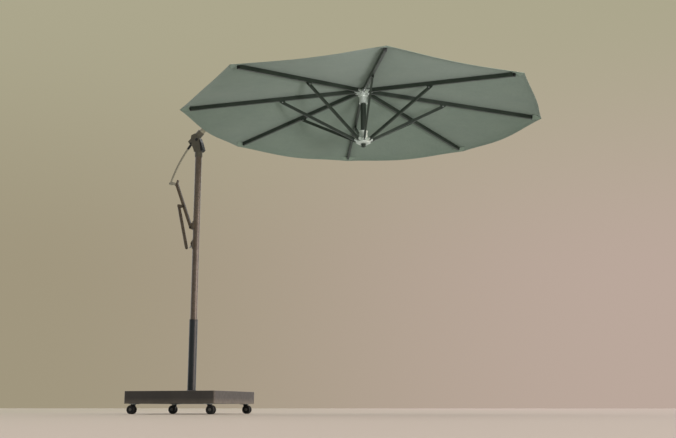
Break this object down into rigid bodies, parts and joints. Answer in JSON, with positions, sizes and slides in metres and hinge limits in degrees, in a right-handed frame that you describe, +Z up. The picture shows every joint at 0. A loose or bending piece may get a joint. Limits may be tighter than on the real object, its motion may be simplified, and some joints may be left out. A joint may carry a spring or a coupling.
{
  "type": "cantilever parasol",
  "caption": "Octagonal cantilever parasol on a square ballasted base with casters; a mast lever and link raise the side boom, and its hubs, ribs and struts fold the cloth.",
  "frame": {"origin": "on the floor under the mast axis, the centre of the square base", "axes": "+X from the mast along the boom to the canopy, +Z up, +Y to the left of someone looking along +X"},
  "size_m": [3.3152, 2.8304, 2.8936],
  "materials": {
    "cover_paint": "dark grey-brown powder coat, fine texture",
    "tray_paint": "black paint",
    "concrete": "cast concrete",
    "sleeve_paint": "blue-black satin powder coat",
    "steel": "zinc-plated steel",
    "bush_plastic": "black nylon",
    "caster_plastic": "black moulded nylon",
    "wheel_rubber": "dark rubber tread with a grey hub",
    "mast_paint": "brown-grey satin powder coat",
    "head_paint": "dark brown-grey satin powder coat",
    "cover_plastic": "black plastic cover",
    "pale_metal": "pale champagne anodised aluminium",
    "lever_paint": "dark brown powder coat",
    "silver": "cast aluminium, silver lacquer",
    "rib_coat": "dark green-grey powder coat on aluminium tube",
    "canopy_cloth": "woven grey-green outdoor cloth"
  },
  "bodies": {
    "base": {"base_cover": "cover_paint", "base_tray": "tray_paint", "ballast_slabs": "concrete", "socket_sleeve": "sleeve_paint", "socket_bolts": "steel", "mast_bushes": "bush_plastic", "caster_plates": "steel"},
    "caster_1": {"caster_housing_1": "caster_plastic"},
    "wheels_1": {"caster_wheels_1": "wheel_rubber"},
    "caster_2": {"caster_housing_2": "caster_plastic"},
    "wheels_2": {"caster_wheels_2": "wheel_rubber"},
    "caster_3": {"caster_housing_3": "caster_plastic"},
    "wheels_3": {"caster_wheels_3": "wheel_rubber"},
    "caster_4": {"caster_housing_4": "caster_plastic"},
    "wheels_4": {"caster_wheels_4": "wheel_rubber"},
    "mast": {"mast_tube": "mast_paint", "mast_head": "head_paint", "head_cover": "cover_plastic", "lever_bracket": "lever_paint", "latch_bracket": "lever_paint", "mast_pins": "steel"},
    "boom": {"boom_tube": "pale_metal", "boom_knuckle": "head_paint", "boom_fork": "head_paint", "boom_pins": "steel"},
    "link": {"tension_link": "pale_metal", "link_clevis": "cover_plastic"},
    "lever": {"lever_arm": "lever_paint", "lever_fitting": "pale_metal", "lever_pins": "steel"},
    "grip": {"grip_handle": "lever_paint"},
    "latch": {"latch_hook": "steel"},
    "crown": {"crown_hub": "silver", "canopy_hanger": "silver"},
    "runner": {"runner_hub": "silver", "spacer_tube": "rib_coat"},
    "rib_1": {"rib_1": "rib_coat", "canopy_panel_1": "canopy_cloth"},
    "strut_1": {"strut_1": "rib_coat"},
    "rib_2": {"rib_2": "rib_coat", "canopy_panel_2": "canopy_cloth"},
    "strut_2": {"strut_2": "rib_coat"},
    "rib_3": {"rib_3": "rib_coat", "canopy_panel_3": "canopy_cloth"},
    "strut_3": {"strut_3": "rib_coat"},
    "rib_4": {"rib_4": "rib_coat", "canopy_panel_4": "canopy_cloth"},
    "strut_4": {"strut_4": "rib_coat"},
    "rib_5": {"rib_5": "rib_coat", "canopy_panel_5": "canopy_cloth"},
    "strut_5": {"strut_5": "rib_coat"},
    "rib_6": {"rib_6": "rib_coat", "canopy_panel_6": "canopy_cloth"},
    "strut_6": {"strut_6": "rib_coat"},
    "rib_7": {"rib_7": "rib_coat", "canopy_panel_7": "canopy_cloth"},
    "strut_7": {"strut_7": "rib_coat"},
    "rib_8": {"rib_8": "rib_coat", "canopy_panel_8": "canopy_cloth"},
    "strut_8": {"strut_8": "rib_coat"}
  },
  "joints": [
    {"name": "caster_swivel_1", "type": "hinge", "parent": "base", "child": "caster_1", "pos_m": [0.328, 0.352, 0.08], "axis": [0, 0, 1], "continuous": true},
    {"name": "wheel_spin_1", "type": "hinge", "parent": "caster_1", "child": "wheels_1", "pos_m": [0.35, 0.352, 0.035], "axis": [0, 1, 0], "continuous": true},
    {"name": "caster_swivel_2", "type": "hinge", "parent": "base", "child": "caster_2", "pos_m": [-0.328, 0.352, 0.08], "axis": [0, 0, 1], "continuous": true},
    {"name": "wheel_spin_2", "type": "hinge", "parent": "caster_2", "child": "wheels_2", "pos_m": [-0.35, 0.352, 0.035], "axis": [0, 1, 0], "continuous": true},
    {"name": "caster_swivel_3", "type": "hinge", "parent": "base", "child": "caster_3", "pos_m": [-0.328, -0.352, 0.08], "axis": [0, 0, 1], "continuous": true},
    {"name": "wheel_spin_3", "type": "hinge", "parent": "caster_3", "child": "wheels_3", "pos_m": [-0.35, -0.352, 0.035], "axis": [0, 1, 0], "continuous": true},
    {"name": "caster_swivel_4", "type": "hinge", "parent": "base", "child": "caster_4", "pos_m": [0.328, -0.352, 0.08], "axis": [0, 0, 1], "continuous": true},
    {"name": "wheel_spin_4", "type": "hinge", "parent": "caster_4", "child": "wheels_4", "pos_m": [0.35, -0.352, 0.035], "axis": [0, 1, 0], "continuous": true},
    {"name": "mast_swivel", "type": "hinge", "parent": "base", "child": "mast", "pos_m": [0, 0, 0.1], "axis": [0, 0, 1], "continuous": true},
    {"name": "boom_lower", "type": "hinge", "parent": "mast", "child": "boom", "pos_m": [-0.008, 0, 2.346], "axis": [0, 1, 0], "range_deg": [0, 30]},
    {"name": "link_swing", "type": "hinge", "parent": "boom", "child": "link", "pos_m": [-0.07, 0, 2.32], "axis": [0, 1, 0], "range_deg": [-36.5, 0]},
    {"name": "lever_swing", "type": "hinge", "parent": "mast", "child": "lever", "pos_m": [-0.052, 0, 1.572], "axis": [0, 1, 0], "range_deg": [0, 5]},
    {"name": "grip_swing", "type": "hinge", "parent": "lever", "child": "grip", "pos_m": [-0.1248, 0, 1.76364], "axis": [0, 1, 0], "range_deg": [0, 24]},
    {"name": "latch_turn", "type": "hinge", "parent": "mast", "child": "latch", "pos_m": [-0.04, 0, 1.432], "axis": [0, 1, 0], "range_deg": [0, 15], "stiffness_Nm_per_rad": 0.1, "springref_deg": -17.19},
    {"name": "hanger_level", "type": "hinge", "parent": "boom", "child": "crown", "pos_m": [1.5, 0, 2.8], "axis": [0, 1, 0], "range_deg": [-30.1, 0]},
    {"name": "runner_slide", "type": "slide", "parent": "crown", "child": "runner", "axis": [0, 0, -1], "range_m": [0, 0.875]},
    {"name": "rib_hinge_1", "type": "hinge", "parent": "crown", "child": "rib_1", "pos_m": [1.56098, 0.02526, 2.63], "axis": [-0.3827, 0.9239, 0], "range_deg": [0, 79.4], "deforming": ["canopy_panel_1"]},
    {"name": "strut_hinge_1", "type": "hinge", "parent": "rib_1", "child": "strut_1", "pos_m": [2.11859, 0.25623, 2.51894], "axis": [-0.3827, 0.9239, 0], "range_deg": [-142.3, 0]},
    {"name": "rib_hinge_2", "type": "hinge", "parent": "crown", "child": "rib_2", "pos_m": [1.52526, 0.06098, 2.63], "axis": [-0.9239, 0.3827, 0], "range_deg": [0, 79.4], "deforming": ["canopy_panel_2"]},
    {"name": "strut_hinge_2", "type": "hinge", "parent": "rib_2", "child": "strut_2", "pos_m": [1.75623, 0.61859, 2.51894], "axis": [-0.9239, 0.3827, 0], "range_deg": [-142.3, 0]},
    {"name": "rib_hinge_3", "type": "hinge", "parent": "crown", "child": "rib_3", "pos_m": [1.47474, 0.06098, 2.63], "axis": [-0.9239, -0.3827, 0], "range_deg": [0, 79.4], "deforming": ["canopy_panel_3"]},
    {"name": "strut_hinge_3", "type": "hinge", "parent": "rib_3", "child": "strut_3", "pos_m": [1.24377, 0.61859, 2.51894], "axis": [-0.9239, -0.3827, 0], "range_deg": [-142.3, 0]},
    {"name": "rib_hinge_4", "type": "hinge", "parent": "crown", "child": "rib_4", "pos_m": [1.43902, 0.02526, 2.63], "axis": [-0.3827, -0.9239, 0], "range_deg": [0, 79.4], "deforming": ["canopy_panel_4"]},
    {"name": "strut_hinge_4", "type": "hinge", "parent": "rib_4", "child": "strut_4", "pos_m": [0.88141, 0.25623, 2.51894], "axis": [-0.3827, -0.9239, 0], "range_deg": [-142.3, 0]},
    {"name": "rib_hinge_5", "type": "hinge", "parent": "crown", "child": "rib_5", "pos_m": [1.43902, -0.02526, 2.63], "axis": [0.3827, -0.9239, 0], "range_deg": [0, 79.4], "deforming": ["canopy_panel_5"]},
    {"name": "strut_hinge_5", "type": "hinge", "parent": "rib_5", "child": "strut_5", "pos_m": [0.88141, -0.25623, 2.51894], "axis": [0.3827, -0.9239, 0], "range_deg": [-142.3, 0]},
    {"name": "rib_hinge_6", "type": "hinge", "parent": "crown", "child": "rib_6", "pos_m": [1.47474, -0.06098, 2.63], "axis": [0.9239, -0.3827, 0], "range_deg": [0, 79.4], "deforming": ["canopy_panel_6"]},
    {"name": "strut_hinge_6", "type": "hinge", "parent": "rib_6", "child": "strut_6", "pos_m": [1.24377, -0.61859, 2.51894], "axis": [0.9239, -0.3827, 0], "range_deg": [-142.3, 0]},
    {"name": "rib_hinge_7", "type": "hinge", "parent": "crown", "child": "rib_7", "pos_m": [1.52526, -0.06098, 2.63], "axis": [0.9239, 0.3827, 0], "range_deg": [0, 79.4], "deforming": ["canopy_panel_7"]},
    {"name": "strut_hinge_7", "type": "hinge", "parent": "rib_7", "child": "strut_7", "pos_m": [1.75623, -0.61859, 2.51894], "axis": [0.9239, 0.3827, 0], "range_deg": [-142.3, 0]},
    {"name": "rib_hinge_8", "type": "hinge", "parent": "crown", "child": "rib_8", "pos_m": [1.56098, -0.02526, 2.63], "axis": [0.3827, 0.9239, 0], "range_deg": [0, 79.4], "deforming": ["canopy_panel_8"]},
    {"name": "strut_hinge_8", "type": "hinge", "parent": "rib_8", "child": "strut_8", "pos_m": [2.11859, -0.25623, 2.51894], "axis": [0.3827, 0.9239, 0], "range_deg": [-142.3, 0]}
  ],
  "couplings": [
    {"joint": "link_swing", "follows": "boom_lower", "ratio": -1.2062},
    {"joint": "lever_swing", "follows": "boom_lower", "ratio": 0.1561},
    {"joint": "hanger_level", "follows": "boom_lower", "ratio": -1},
    {"joint": "runner_slide", "follows": "boom_lower", "m_per_rad": 1.6679},
    {"joint": "rib_hinge_1", "follows": "boom_lower", "ratio": 2.6427},
    {"joint": "strut_hinge_1", "follows": "boom_lower", "ratio": -4.7379},
    {"joint": "rib_hinge_2", "follows": "boom_lower", "ratio": 2.6427},
    {"joint": "strut_hinge_2", "follows": "boom_lower", "ratio": -4.7379},
    {"joint": "rib_hinge_3", "follows": "boom_lower", "ratio": 2.6427},
    {"joint": "strut_hinge_3", "follows": "boom_lower", "ratio": -4.7379},
    {"joint": "rib_hinge_4", "follows": "boom_lower", "ratio": 2.6427},
    {"joint": "strut_hinge_4", "follows": "boom_lower", "ratio": -4.7379},
    {"joint": "rib_hinge_5", "follows": "boom_lower", "ratio": 2.6427},
    {"joint": "strut_hinge_5", "follows": "boom_lower", "ratio": -4.7379},
    {"joint": "rib_hinge_6", "follows": "boom_lower", "ratio": 2.6427},
    {"joint": "strut_hinge_6", "follows": "boom_lower", "ratio": -4.7379},
    {"joint": "rib_hinge_7", "follows": "boom_lower", "ratio": 2.6427},
    {"joint": "strut_hinge_7", "follows": "boom_lower", "ratio": -4.7379},
    {"joint": "rib_hinge_8", "follows": "boom_lower", "ratio": 2.6427},
    {"joint": "strut_hinge_8", "follows": "boom_lower", "ratio": -4.7379}
  ]
}
